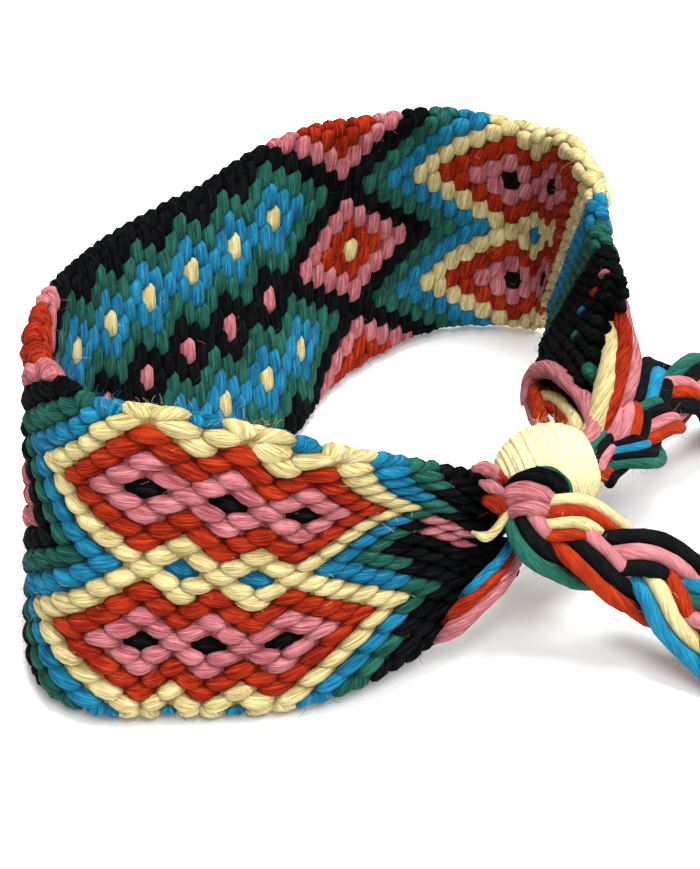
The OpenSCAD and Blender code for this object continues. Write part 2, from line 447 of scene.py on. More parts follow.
@dataclass(frozen=True)
class KnotChart:
    """The pattern: stepped rings round rows of small diamonds, much alike from both ends."""

    medallion: tuple[Yarn, ...] = (Yarn.BLACK, Yarn.PINK, Yarn.ORANGE, Yarn.YELLOW, Yarn.BLUE,
                                   Yarn.GREEN, Yarn.BLACK)
    lozenge: tuple[Yarn, ...] = (Yarn.YELLOW, Yarn.ORANGE, Yarn.PINK, Yarn.BLACK)
    middle: tuple[Yarn, ...] = (Yarn.YELLOW, Yarn.BLUE, Yarn.GREEN, Yarn.BLACK)
    # columns and rows of the diamonds' centres, counted from the middle of the band
    medallion_columns: tuple[int, ...] = (28, 32)
    front_column: int = 36
    medallion_rows: tuple[int, ...] = (-6, 6)
    lozenge_columns: tuple[int, ...] = (16,)
    lozenge_rows: tuple[int, ...] = (-12, 0, 12)
    middle_columns: tuple[int, ...] = (-10, -6, -2, 2, 6, 10)
    # whole columns of one yarn at the back end, before the dark ones
    stripes: dict[int, Yarn] = field(default_factory=lambda: {
        36: Yarn.YELLOW, 37: Yarn.YELLOW, 38: Yarn.BLUE, 39: Yarn.BLUE, 40: Yarn.GREEN,
        41: Yarn.GREEN})
    # column, lowest and highest row of the hitches past both ends' last knots
    hitches: tuple[tuple[int, int, int], ...] = (
        (-49, -7, -1), (-48, -10, 0), (-47, -11, 3), (-46, -12, 4),
        (47, -9, 11), (48, -6, 10), (49, -5, 7), (50, 0, 6), (51, 1, 5), (52, 2, 4))
    # single coloured knots among the dark ones of both ends
    bumps: dict[tuple[int, int], Yarn] = field(default_factory=lambda: {
        (-44, 4): Yarn.PINK, (-44, 2): Yarn.PINK, (-45, 3): Yarn.PINK, (-45, 1): Yarn.PINK,
        (-46, 2): Yarn.PINK, (-46, 0): Yarn.PINK, (45, 11): Yarn.PINK, (46, 8): Yarn.ORANGE,
        (46, 4): Yarn.BLUE, (48, 2): Yarn.GREEN, (52, 4): Yarn.GREEN})

    @staticmethod
    def nearest(u: int, w: int, columns: tuple[int, ...],
                rows: tuple[int, ...]) -> tuple[int, int, int]:
        """Find the nearest diamond centre.

        Args:
            u: knot column.
            w: knot row.
            columns: the centres' columns.
            rows: the centres' rows.

        Returns:
            Ring number round that centre, and the steps from it along and across.
        """
        best = (99, 0, 0)
        for cu in columns:
            for cw in rows:
                du, dw = u - cu, w - cw
                ring = max(abs(du + dw), abs(du - dw)) // 2
                if ring < best[0]:
                    best = (ring, du, dw)
        return best

    def read(self, u: int, w: int) -> tuple[Yarn, int]:
        """Read one knot of the chart.

        Args:
            u: knot column.
            w: knot row.

        Returns:
            The knot's yarn, and its slant: 1 rising with the column, -1 falling, 0 level.
        """
        far = abs(u)
        turn = 1 if u >= 0 else -1
        front = () if u > 0 else (self.front_column,)
        outer = self.nearest(far, w, (*self.medallion_columns, *front), self.medallion_rows)
        outer_slant = self.slant(turn * outer[1], outer[2])
        if far >= self.medallion_columns[0]:
            return self.ending(u, w, outer[0]), outer_slant
        if outer[0] < len(self.medallion) - 1:
            return self.medallion[outer[0]], outer_slant
        edge = self.nearest(far, w, self.lozenge_columns, self.lozenge_rows)
        if edge[0] < len(self.lozenge):
            # the lozenges that the band's edges cut have no yellow middle
            ring = max(edge[0], 1) if abs(w) > 9 else edge[0]
            return self.lozenge[ring], self.slant(turn * edge[1], edge[2])
        if outer[0] < len(self.medallion):
            return Yarn.BLACK, outer_slant
        inner = self.nearest(u, w, self.middle_columns, self.medallion_rows)
        if inner[0] < len(self.middle):
            return self.middle[inner[0]], self.slant(inner[1], inner[2])
        return (Yarn.PINK if w == 0 else Yarn.BLACK), self.slant(u % 4 - 2, w)

    def ending(self, u: int, w: int, ring: int) -> Yarn:
        """Return the yarn of a knot in or beyond the last rings at either end.

        Args:
            u: knot column.
            w: knot row.
            ring: ring number round the nearest centre.

        Returns:
            The yarn.
        """
        if u >= min(self.stripes):
            return self.stripes.get(u, Yarn.BLACK)
        if u > 0 and abs(w) > 10:
            return Yarn.YELLOW
        if u > 33 and ring > 2:
            return Yarn.ORANGE
        ring += 1 if u < -42 else 0
        return self.medallion[ring] if ring < len(self.medallion) else Yarn.BLACK

    def alone(self, u: int, w: int) -> bool:
        """Return whether a knot is a diamond's single middle one, half hidden by its ring."""
        here = self.read(u, w)[0]
        return all(self.read(u + d, w + e)[0] is not here for d in (-1, 1) for e in (-1, 1))

    def sunk(self, u: int, w: int) -> bool:
        """Return whether an edge knot lies deep between two knots of another yarn."""
        here = self.read(u, w)[0]
        lone = all(self.read(u + d, w)[0] is not here for d in (-2, 2))
        return lone and here is not Yarn.YELLOW and self.by_medallions(u)

    def by_medallions(self, u: int) -> bool:
        """Return whether a column lies beside the medallions' centres."""
        return self.medallion_columns[0] <= abs(u) <= self.front_column

    @staticmethod
    def slant(du: int, dw: int) -> int:
        """Return the way in which a ring runs past a knot."""
        if du * dw > 0:
            return -1
        return 1 if du * dw < 0 else 0


def tile(shape: bpy.types.Mesh, points: np.ndarray, name: str) -> bpy.types.Mesh:
    """Write one mesh with many copies of a small shape.

    Args:
        shape: the small shape.
        points: every copy's points in metres, one copy after another.
        name: the new mesh's name.

    Returns:
        The mesh.
    """
    faces = [tuple(f.vertices) for f in shape.polygons]
    size = len(shape.vertices)
    tiled = [tuple(i + k * size for i in f) for k in range(len(points) // size) for f in faces]
    mesh = bpy.data.meshes.new(name)
    mesh.from_pydata(points.tolist(), [], tiled)
    return mesh


def face_out(mesh: bpy.types.Mesh, share: int) -> None:
    """Turn every closed shape of a mesh so that its faces look outwards.

    Args:
        mesh: copies of one closed shape, one after another.
        share: the number of faces of each copy.
    """
    bm = bmesh.new()
    bm.from_mesh(mesh)
    bmesh.ops.recalc_face_normals(bm, faces=bm.faces)
    faces = bm.faces[:]
    inward = []
    for k in range(0, len(faces), share):
        copy = faces[k:k + share]
        middle = copy[0].calc_center_median()
        if sum(f.normal.dot(f.calc_center_median() - middle) * f.calc_area() for f in copy) < 0.0:
            inward += copy
    bmesh.ops.reverse_faces(bm, faces=inward)
    bm.to_mesh(mesh)
    bm.free()


@dataclass
class Lobe:
    """A closed pad of yarn in unit sizes, made once and stamped many times."""

    rows: int = 7
    arc: tuple[float, ...] = (-180, -112, -72, -36, 0, 36, 72, 112, 180)
    fullness: float = 2.5

    def mesh(self) -> bpy.types.Mesh:
        """Make the pad: a grid rolled into a closed lobe along X.

        Returns:
            A mesh whose points are (place along, across, up) in units of its half sizes.
        """
        bm = bmesh.new()
        cols = len(self.arc) - 1
        bm.loops.layers.uv.new(FIBRE_MAP)
        bmesh.ops.create_grid(bm, x_segments=self.rows, y_segments=cols, size=1.0, calc_uvs=True)
        for v in bm.verts:
            s = math.sin(v.co.x * math.pi / 2)
            a = math.radians(self.arc[cell(v.co.y, cols)])
            r = max(1.0 - abs(s)**self.fullness, 0.0)**0.5
            v.co = Vector((s, r * math.sin(a), r * math.cos(a)))
        bmesh.ops.remove_doubles(bm, verts=bm.verts, dist=1e-5)
        bmesh.ops.recalc_face_normals(bm, faces=bm.faces)
        mesh = bpy.data.meshes.new("lobe")
        bm.to_mesh(mesh)
        bm.free()
        return mesh


@dataclass
class Strand:
    """A closed tube of yarn that follows a route."""

    sides: int = 10
    # how far its fibres turn round it for each millimetre
    twist: float = 0.35
    # slow swells of its thickness and quicker dents in it, as shares, and their rates
    swell: float = 0.05
    swell_rate: float = 1.3
    dent: float = 0.03
    dent_rate: float = 3.7

    def add(self, bm: bmesh.types.BMesh, route: np.ndarray, radius: np.ndarray,
            flat: float = 1.0, start: float = 0.0) -> None:
        """Roll a grid round a route and close its seam and both ends.

        Args:
            bm: mesh that takes the strand.
            route: points in millimetres, evenly spaced.
            radius: half thickness at each point.
            flat: height of the section as a share of its width.
            start: where the strand's own fibre map starts.
        """
        n = len(route)
        line = unit(np.gradient(route, axis=0))
        side = np.zeros_like(route)
        pick = UP if abs(line[0][2]) < 0.9 else np.array([1.0, 0.0, 0.0])
        side[0] = unit(np.cross(line[0], pick))
        for i in range(1, n):
            side[i] = unit(side[i - 1] - line[i] * np.dot(side[i - 1], line[i]))
        up = np.cross(side, line)
        run = np.concatenate([[0.0], np.cumsum(np.linalg.norm(np.diff(route, axis=0), axis=1))])
        uv_layer = bm.loops.layers.uv.get(FIBRE_MAP) or bm.loops.layers.uv.new(FIBRE_MAP)
        made = bmesh.ops.create_grid(bm, x_segments=n + 1, y_segments=self.sides, size=1.0,
                                     calc_uvs=True)
        verts = made["verts"]
        girth = 2 * math.pi * float(np.mean(radius))
        faces = {f for v in verts for f in v.link_faces}
        for f in faces:
            for loop in f.loops:
                t = loop[uv_layer].uv
                along = float(np.interp(t.x * (n + 1), np.arange(1, n + 1), run))
                loop[uv_layer].uv = (along + start, t.y * girth + self.twist * along + start)
        for v in verts:
            i = cell(v.co.x, n + 1)
            j = min(max(i - 1, 0), n - 1)
            k = cell(v.co.y, self.sides) % self.sides
            thick = (1.0 + self.swell * math.sin(self.swell_rate * run[j] + start)
                     + self.dent * math.sin(self.dent_rate * run[j] + k))
            r = 0.0 if i in (0, n + 1) else float(radius[j]) * thick
            a = 2 * math.pi * k / self.sides
            p = route[j] + side[j] * (r * math.cos(a)) + up[j] * (r * flat * math.sin(a))
            v.co = Vector(p * MM)
        bmesh.ops.remove_doubles(bm, verts=verts, dist=1e-7)


class Piece:
    """Turns a finished bmesh into a piece of the model."""

    def __init__(self, basket: YarnBasket) -> None:
        """Keep the basket that dresses the pieces."""
        self.basket = basket
        self.count = 0

    def finish(self, bm: bmesh.types.BMesh, name: str, yarn: Yarn,
               nodes: tuple[str, ...] = (), painted_light: float = 0.0) -> bpy.types.Object:
        """Write the mesh, dress it and fix it to the bracelet.

        Args:
            bm: the piece's shape, freed here.
            name: the piece's name.
            yarn: the yarn that it is made of.
            nodes: solids that it stands for.
            painted_light: how far its yarn is painted towards the light tone, as painted light.

        Returns:
            The piece.
        """
        bmesh.ops.recalc_face_normals(bm, faces=bm.faces)
        mesh = bpy.data.meshes.new(name)
        bm.to_mesh(mesh)
        bm.free()
        return self.adopt(mesh, name, yarn, nodes, painted_light)

    def adopt(self, mesh: bpy.types.Mesh, name: str, yarn: Yarn,
              nodes: tuple[str, ...] = (), painted_light: float = 0.0) -> bpy.types.Object:
        """Make a piece of a finished mesh.

        Args:
            mesh: the piece's mesh.
            name: the piece's name.
            yarn: the yarn that it is made of.
            nodes: solids that it stands for.
            painted_light: how far its yarn is painted towards the light tone, as painted light.

        Returns:
            The piece.
        """
        mesh.shade_smooth()
        # painted light, the same share at every point of the piece
        if painted_light:
            tone = mesh.attributes.new(PAINTED_LIGHT, "FLOAT", "POINT")
            tone.data.foreach_set("value", np.full(len(mesh.vertices), painted_light))
        obj = bpy.data.objects.new(name, mesh)
        bpy.context.scene.collection.objects.link(obj)
        self.basket.dress(obj, yarn)
        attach(obj, "root")
        if nodes:
            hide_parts(*nodes)
        self.count += 1
        LOG.info("%s: %d faces", name, len(mesh.polygons))
        return obj


@dataclass(frozen=True)
class Spread:
    """How far stamps of one kind stray at random from their plain place, turn and sizes."""

    shift: float
    turn: float
    long: tuple[float, float]
    wide: tuple[float, float]
    proud: tuple[float, float]
    across: bool = True


@dataclass(frozen=True)
class Stamp:
    """One knot's pad as it is set on the band: its place, turn, half sizes, form and the painted
    shade added to it.
    """

    u: float
    w: float
    slant: float
    long: float
    wide: float
    proud: float
    base: float
    bend: float = 0.0
    tuck: float = 0.0
    seed: float = 0.0
    # painted shade added over the whole pad
    shade: float = 0.0

    def stray(self, spread: Spread, rng: random.Random) -> Stamp:
        """Return the stamp a little off its place, turn and sizes, with its own fibre map.

        Args:
            spread: how far it may go.
            rng: draws the amounts.

        Returns:
            The new stamp.
        """
        shift = spread.shift
        return Stamp(
            u=self.u + rng.uniform(-shift, shift),
            w=self.w + (rng.uniform(-shift, shift) if spread.across else 0.0),
            slant=self.slant + rng.uniform(-spread.turn, spread.turn),
            long=self.long * rng.uniform(*spread.long),
            wide=self.wide * rng.uniform(*spread.wide),
            proud=self.proud * rng.uniform(*spread.proud), base=self.base, bend=self.bend,
            tuck=self.tuck, seed=rng.uniform(0, 50), shade=self.shade)


@dataclass(frozen=True)
class EdgeLoop:
    """One form of the pairs of loops that roll over an edge: place, turn and half sizes."""

    apart: float = 0.46
    row: float = 12.35
    turn: float = 13.0
    long: float = 1.65
    wide: float = 0.95
    proud: float = 0.98


@dataclass
class KnottedBand:
    """The wide band: outer pads, inner bars, rolled edges and the dark cords under them."""

    shape: BandShape
    chart: KnotChart
    pad_half_length: float = 1.47
    pad_half_width: float = 0.96
    pad_height: float = 1.18
    bar_half_length: float = 1.45
    bar_half_width: float = 1.00
    bar_height: float = 0.85
    # the bed under the pads: half length, half width, height, and the painted shade that darkens
    # it
    bed_half_length: float = 2.0
    bed_half_width: float = 1.22
    bed_height: float = 0.58
    bed_shade: float = 0.95
    pad_slant: float = 11.0
    bar_slant: float = 15.0
    # a level pad bows more than a slanted one, and slanted ones tuck under a neighbour
    level_bend: float = 0.30
    slant_bend: float = 0.16
    tuck: float = 0.24
    # where the pads and bars start, out from the band's middle surface
    base: float = 0.33
    plain_loop: EdgeLoop = EdgeLoop()
    full_loop: EdgeLoop = EdgeLoop(apart=0.70, turn=30.0, wide=1.15)
    sunk_loop: EdgeLoop = EdgeLoop(apart=0.25, row=12.0, long=0.85, wide=0.55, proud=0.80)
    # the dark strip: half thickness, last column and row, cells along and across
    core_half: float = 0.22
    core_column: float = 45.0
    core_row: float = 11.9
    core_cells: tuple[int, int] = (92, 12)
    # place on a pad, as a share of its length squared, that a bow leaves where it is
    bow_rest: float = 0.35
    # width of the fibre map on a pad, in half widths of the pad
    map_width: float = 3.2
    # painted shade: how dark a pad is painted at its base, how fast that fades upwards, and how a
    # tucked end adds to it
    painted_crease_shade: float = 0.80
    painted_shade_fade: float = 1.45
    painted_shade_tuck: float = 1.3
    # a diamond's single middle knot, and a bar near either end, are smaller
    alone_share: float = 0.72
    end_share: float = 0.9
    end_from: int = 44
    pad_spread: Spread = Spread(0.09, 6.0, (0.95, 1.06), (0.94, 1.05), (0.92, 1.08))
    bar_spread: Spread = Spread(0.06, 6.0, (0.93, 1.06), (0.94, 1.06), (0.90, 1.10))
    loop_spread: Spread = Spread(0.05, 5.0, (0.95, 1.05), (0.95, 1.05), (0.95, 1.05),
                                 across=False)
    seed: int = 11

    def stamps(self) -> dict[Yarn, list[Stamp]]:
        """Read the chart and set out every pad.

        Returns:
            The pads of each yarn.
        """
        rng = random.Random(self.seed)
        sets: dict[Yarn, list[Stamp]] = {yarn: [] for yarn in Yarn}
        edge = self.shape.edge_row
        for w in range(-edge, edge + 1):
            for u in range(-self.shape.last_column(-1), self.shape.last_column(1) + 1):
                if (u + w) % 2:
                    continue
                yarn, slant = self.chart.read(u, w)
                yarn = self.chart.bumps.get((u, w), yarn)
                sets[yarn].append(self.bar(u, w, slant, rng))
                if abs(w) == edge:
                    sets[yarn] += self.edge_fan(u, w, yarn, rng)
                else:
                    sets[yarn] += [self.pad(u, w, slant, rng), self.bed(u, w, slant)]
        return sets

    def hitch_stamps(self, sense: int) -> dict[Yarn, list[Stamp]]:
        """Set out the hitches over the gathered strings past one end.

        Args:
            sense: -1 for the front end, 1 for the back end.

        Returns:
            The hitches of each yarn.
        """
        rng = random.Random(self.seed + sense)
        sets: dict[Yarn, list[Stamp]] = {}
        for u, low, high in self.chart.hitches:
            for w in range(low, high + 1, 2) if u * sense > 0 else ():
                yarn = self.chart.bumps.get((u, w), Yarn.BLACK)
                sets.setdefault(yarn, []).extend(
                    [self.bar(u, w, 0, rng), self.pad(u, w, sense, rng)])
        return sets

    def pad(self, u: int, w: int, slant: int, rng: random.Random) -> Stamp:
        """Set out one outer pad.

        Args:
            u: knot column.
            w: knot row.
            slant: the way in which its ring runs past it.
            rng: draws how far it strays.

        Returns:
            The pad.
        """
        level = slant == 0
        bend = self.level_bend if level else self.slant_bend
        # a level pad bows away from its ring's middle row, which may be under it
        edge = self.shape.edge_row
        above = level and w % edge >= edge // 2
        size = self.alone_share if self.chart.alone(u, w) else 1.0
        plain = Stamp(u, w, slant * self.pad_slant, self.pad_half_length * size,
                      self.pad_half_width * size, self.pad_height * size, self.base,
                      bend=-bend if above else bend, tuck=self.tuck * slant)
        return plain.stray(self.pad_spread, rng)

    def bed(self, u: int, w: int, slant: int) -> Stamp:
        """Set out the low, wide yarn that shows between one outer pad and the next, painted nearly
        all in its deep tone as shade between the pads.
        """
        return Stamp(u, w, slant * 2 * self.pad_slant, self.bed_half_length, self.bed_half_width,
                     self.bed_height, self.base, seed=u * 0.7 + w * 1.3, shade=self.bed_shade)

    def bar(self, u: int, w: int, slant: int, rng: random.Random) -> Stamp:
        """Set out one inner bar.

        Args:
            u: knot column.
            w: knot row.
            slant: the way in which its ring runs past it.
            rng: draws how far it strays.

        Returns:
            The bar.
        """
        size = self.end_share if abs(u) > self.end_from else 1.0
        plain = Stamp(u, w, 90 - self.bar_slant - 5 * slant, self.bar_half_length * size,
                      self.bar_half_width * size, -self.bar_height, -self.base)
        return plain.stray(self.bar_spread, rng)

    def edge_fan(self, u: int, w: int, yarn: Yarn, rng: random.Random) -> list[Stamp]:
        """Set out the pair of loops that roll over an edge at one column.

        Args:
            u: knot column.
            w: knot row, the highest or the lowest.
            yarn: the knot's yarn.
            rng: draws how far the loops stray.

        Returns:
            Both loops: sunk between their neighbours, full and fanned out, or plain.
        """
        form = self.plain_loop
        if self.chart.sunk(u, w):
            form = self.sunk_loop
        elif yarn is Yarn.YELLOW and self.chart.by_medallions(u):
            form = self.full_loop
        up = math.copysign(1, w)
        return [Stamp(u + side * form.apart, form.row * up, 90 - form.turn * side * up,
                      form.long, form.wide, form.proud, self.base).stray(self.loop_spread, rng)
                for side in (-1, 1)]

    def press(self, lobe: bpy.types.Mesh, stamps: list[Stamp], name: str) -> bpy.types.Mesh:
        """Stamp the pad's mesh once for each knot, laid on the band's surface.

        Args:
            lobe: the unit pad.
            stamps: where and how large each copy is.
            name: the new mesh's name.

        Returns:
            One mesh with all the copies and their fibre map.
        """
        co = np.empty(len(lobe.vertices) * 3)
        lobe.vertices.foreach_get("co", co)
        co = co.reshape(-1, 3)
        field_of = {k: np.array([getattr(s, k) for s in stamps], float)[:, None]
                    for k in ("u", "w", "slant", "long", "wide", "proud", "base", "bend",
                              "tuck", "seed", "shade")}
        x, y, z = co[:, 0][None], co[:, 1][None], co[:, 2][None]
        turn = np.radians(field_of["slant"])
        run = x * field_of["long"]
        off = y * field_of["wide"] + field_of["bend"] * (x * x - self.bow_rest)
        along = run * np.cos(turn) - off * np.sin(turn)
        across = run * np.sin(turn) + off * np.cos(turn)
        out = (field_of["base"] + z * field_of["proud"]
               - field_of["tuck"] * x * np.sign(field_of["base"]))
        u = field_of["u"] + along / self.shape.along_pitch
        w = field_of["w"] + across / self.shape.across_pitch
        points = self.shape.place(u.ravel(), w.ravel(), out.ravel()) * MM
        points[:, 2] = np.maximum(points[:, 2], 0.0)
        # painted shade: darker towards each pad's base and under a tucked end
        dip = np.clip(self.painted_crease_shade - self.painted_shade_fade * z + self.painted_shade_tuck * field_of["tuck"] * x
                      + field_of["shade"], 0.0, 1.0)

        mesh = tile(lobe, points, name)
        mesh.attributes.new(PAINTED_CREASE_SHADE, "FLOAT", "POINT").data.foreach_set("value", dip.ravel())
        uv = np.empty(len(lobe.loops) * 2)
        lobe.uv_layers[FIBRE_MAP].data.foreach_get("uv", uv)
        uv = uv.reshape(1, -1, 2)
        size = np.stack([2 * field_of["long"], self.map_width * field_of["wide"]], -1)
        spread = uv * size + field_of["seed"][:, :, None]
        layer = mesh.uv_layers.new(name=FIBRE_MAP)
        layer.data.foreach_set("uv", spread.ravel())
        face_out(mesh, len(lobe.polygons))
        return mesh

    def core(self) -> bmesh.types.BMesh:
        """Make the carrying cords under the knots: a grid rolled into one dark closed strip, whose
        black is also painted shade where it shows between the knots.

        Returns:
            The strip's mesh, which is open for changes.
        """
        cols, rows = self.core_cells
        up = np.linspace(-self.core_row, self.core_row, rows + 1)
        across = np.concatenate([up, up[::-1]])
        away = np.repeat([self.core_half, -self.core_half], rows + 1)
        round_it = len(across)
        bm = bmesh.new()
        bm.loops.layers.uv.new(FIBRE_MAP)
        bmesh.ops.create_grid(bm, x_segments=cols, y_segments=round_it, size=1.0, calc_uvs=True)
        co = np.array([v.co[:] for v in bm.verts])
        k = np.rint((co[:, 1] + 1.0) / 2.0 * round_it).astype(int) % round_it
        # both sides meet at the two ends, which closes the strip
        out = np.where(np.abs(co[:, 0]) > 0.999, 0.0, away[k])
        flat = self.shape.place(co[:, 0] * self.core_column, across[k], out) * MM
        for v, p in zip(bm.verts, flat):
            v.co = Vector(p)
        bmesh.ops.remove_doubles(bm, verts=bm.verts, dist=1e-7)
        return bm

    def build(self, maker: Piece) -> None:
        """Build the band's pieces.

        Args:
            maker: makes pieces of meshes.
        """
        lobe, block = Lobe().mesh(), Lobe(fullness=4.5).mesh()
        for yarn, stamps in self.stamps().items():
            outer = [s for s in stamps if s.proud > 0]
            inner = [s for s in stamps if s.proud < 0]
            for shape, picks, side in ((lobe, outer, "knots"), (block, inner, "bars")):
                name = f"band_{side}_{yarn.name.lower()}"
                maker.adopt(self.press(shape, picks, name), name, yarn, ("band",))
        for sense, node in ((-1, "front_strings"), (1, "back_strings")):
            for yarn, stamps in self.hitch_stamps(sense).items():
                name = f"{node}_hitches_{yarn.name.lower()}"
                maker.adopt(self.press(block, stamps, name), name, yarn, (node,))
        # black yarn under the knots: the cords, and painted shade in the gaps between the knots
        maker.finish(self.core(), "band_carrying_cords", Yarn.BLACK, ("band",))


@dataclass
class WoundWrap:
    """The ball-like wrap: turns of yarn round the strings' way through it."""

    middle: tuple[float, float, float] = (19.6, -13.5, 13.0)
    heading: tuple[float, float, float] = (0.93, 0.30, 0.20)
    radius: float = 4.55
    half_length: float = 3.9
    turns: float = 34.0
    string: float = 0.42
    samples: int = 880
    # the windings crowd towards both ends, as a sine does up to this angle
    last_angle: float = 1.45
    # the round form would close this far past the windings' ends
    overhang: float = 0.70
    wobble: float = 0.10
    # for each layer: depth under the outermost one, way of turning and first place in turns
    layers: tuple[tuple[float, float, float], ...] = ((0.0, 1.0, 0.0), (0.30, -1.0, 0.4))
    fill_depth: float = 0.9
    # painted light: how far the wrap's yarn is pushed towards its light tone
    painted_light: float = 0.65

    def axes(self) -> tuple[np.ndarray, np.ndarray, np.ndarray, np.ndarray]:
        """Return the wrap's centre, and the ways along, sideways and up there."""
        axis = unit(np.array(self.heading))
        side = unit(np.cross(axis, UP))
        return np.array(self.middle) + SHIFT, axis, side, np.cross(side, axis)

    def winding(self, layer: int) -> np.ndarray:
        """Wind one layer from one end of the wrap to the other.

        Args:
            layer: its number, from the outside.

        Returns:
            Points along its string.
        """
        centre, axis, side, up = self.axes()
        depth, sense, first = self.layers[layer]
        t = np.linspace(-1.0, 1.0, self.samples)
        reach = self.half_length - depth * 0.4
        along = reach * np.sin(t * self.last_angle) / math.sin(self.last_angle)
        rim = np.sqrt(np.maximum(1.0 - (along / (self.half_length + self.overhang))**2, 0.02))
        rho = (self.radius - self.string - depth) * rim
        turn = 2 * math.pi * (self.turns * (t + 1) / 2 * sense + first)
        wave = self.wobble * np.sin(turn * 0.37 + layer)
        return (centre + axis * along[:, None] + side * (rho * np.cos(turn))[:, None]
                + up * ((rho + wave) * np.sin(turn))[:, None])

    def build(self, maker: Piece) -> bpy.types.Object:
        """Wind the wrap over its filling.

        Args:
            maker: makes pieces of meshes.

        Returns:
            The wrap.
        """
        bm = bmesh.new()
        for layer in range(len(self.layers)):
            Strand(sides=8).add(bm, self.winding(layer), np.full(self.samples, self.string),
                                start=layer * 7.0)
        centre, axis, _, _ = self.axes()
        slope = np.linspace(-math.pi / 2, math.pi / 2, 24)
        fill = centre + axis * ((self.half_length + 0.1) * np.sin(slope))[:, None]
        half = np.maximum((self.radius - self.fill_depth) * np.cos(slope), 0.05)
        Strand(sides=32).add(bm, fill, half)
        return maker.finish(bm, "wrap_turns", Yarn.YELLOW, ("wrap",), self.painted_light)


class YarnSheets(dict[Yarn, bmesh.types.BMesh]):
    """An open mesh for each yarn, made when it is first asked for."""

    def __missing__(self, yarn: Yarn) -> bmesh.types.BMesh:
        """Open the mesh of one yarn."""
        self[yarn] = bmesh.new()
        return self[yarn]


@dataclass
class EndString:
    """One string from the band's end straight to the wrap: its row, yarn and layer."""

    row: float
    yarn: Yarn
    layer: float


@dataclass
class LooseString:
    """One string that bows on its own way to the wrap: its yarn, thickness and route."""

    yarn: Yarn
    radius: float
    points: list[list[float]]
    tip: float = 1.0

    def route(self, n: int = 40) -> np.ndarray:
        """Return n evenly spread points along the string."""
        rows = np.array(self.points)
        return through(rows, np.linspace(0.0, len(rows) - 1.0, n))

    def thickness(self, n: int = 40) -> np.ndarray:
        """Return the radius at the route's n points, thinner where it comes from a knot."""
        return self.radius * (self.tip + (1.0 - self.tip) * ease(np.linspace(0.0, 4.0, n)))


@dataclass
class GatheredStrings:
    """The band's strings at one end, drawn together into the wrap."""

    shape: BandShape
    name: str
    sense: int
    aim: tuple[float, float]
    wrap_middle: tuple[float, float, float]
    strings: list[EndString]
    loops: list[LooseString]
    drop: tuple[float, float, float] = (0.0, 0.0, 0.0)
    radius: float = 0.75
    depth: float = 3.4
    # half height and half width of the bundle where it enters the wrap
    entry_height: float = 1.5
    entry_width: float = 1.1
    # share of the way for which a string keeps its direction at either end
    leave: float = 0.35
    enter: float = 0.42
    # a string starts this many columns before the last one, and is led on by a place behind it
    start_before: float = 0.6
    lead_columns: float = 1.5
    # it is thinner where it comes from its knot
    start_share: float = 0.45
    samples: int = 22

    def entry(self) -> tuple[np.ndarray, np.ndarray, np.ndarray, np.ndarray]:
        """Return where the strings enter the wrap, and the ways out, sideways and up there."""
        azimuth, elevation = (math.radians(a) for a in self.aim)
        level = math.cos(elevation)
        out = np.array([level * math.cos(azimuth), level * math.sin(azimuth), math.sin(elevation)])
        spot = np.array(self.wrap_middle) + SHIFT + out * self.depth + np.array(self.drop)
        flank = unit(np.cross(out, UP))
        return spot, out, flank, np.cross(flank, out)

    def route(self, string: EndString) -> np.ndarray:
        """Lead one string from its row of the band into the wrap.

        Args:
            string: its row and layer.

        Returns:
            Points along the string.
        """
        entry, out, flank, rise = self.entry()
        last = self.shape.last_column(self.sense) - self.start_before
        u = np.array([self.sense * last, self.sense * (last - self.lead_columns)])
        ends = self.shape.place(u, np.full(2, string.row), np.full(2, string.layer))
        way = unit(ends[0] - ends[1])
        spot = (entry + rise * (string.row / self.shape.edge_row * self.entry_height)
                + flank * (string.layer * self.entry_width))
        reach = float(np.linalg.norm(spot - ends[0]))
        return bezier(ends[1], ends[0] + way * reach * self.leave,
                      spot + out * reach * self.enter, spot, self.samples)

    def build(self, maker: Piece) -> None:
        """Lay the strings, one piece for each yarn.

        Args:
            maker: makes pieces of meshes.
        """
        sheets = YarnSheets()
        strand = Strand()
        swell = ease(np.linspace(-0.6, 2.6, self.samples))
        radius = self.radius * (self.start_share + (1 - self.start_share) * swell)
        for k, string in enumerate(self.strings):
            strand.add(sheets[string.yarn], self.route(string), radius, start=3.1 * k)
        for k, loop in enumerate(self.loops):
            strand.add(sheets[loop.yarn], loop.route(), loop.thickness(), start=2.3 * k + 1.0)
        for yarn, bm in sheets.items():
            maker.finish(bm, f"{self.name}_{yarn.name.lower()}", yarn, (self.name,))


@dataclass(frozen=True)
class BraidString:
    """One string of a braid's bundle, and where its neighbours cover it."""

    yarn: Yarn
    tucked: Tuck = Tuck.NEVER

    def share(self, phase: np.ndarray) -> np.ndarray:
        """Return how much of its full width the string takes at each phase of the weave."""
        if self.tucked is Tuck.NEVER:
            return np.ones_like(phase)
        near = np.cos(phase - math.radians(self.tucked.value))
        return 1.0 - 0.95 * ease(0.5 + 1.1 * near)


@dataclass(frozen=True)
class TieEnd:
    """Sizes of a tie's end knot, of crossing loops of string, and of its cut strings."""

    knot: float = 3.2
    gap: float = 0.5
    loops: int = 6
    loop_turns: float = 1.35
    loop_length: float = 3.6
    loop_sway: float = 0.35
    # each loop is swayed along the knot by its own phase, this many radians after the last one's
    loop_phase: float = 2.1
    # every other loop lies this far under the rest
    loop_under: float = 0.35
    loop_samples: int = 70
    # the loops' round form would close this far from the knot's middle
    closes_at: float = 3.3
    # the loops are thicker than the cut strings by this
    swell: float = 0.08
    tassel: float = 8.0
    tassel_fan: float = 1.9
    # the cut strings lie on the surface in three layers this far apart, each a little off it
    layer_height: float = 0.9
    clearance: float = 0.15
    # shares of the full length from which that of each cut string is drawn
    cut_lengths: tuple[float, float] = (0.86, 1.0)
    # length of the handles with which a cut string leaves the knot and comes to its end
    handles: tuple[float, float] = (3.2, 3.0)
    tassel_samples: int = 16


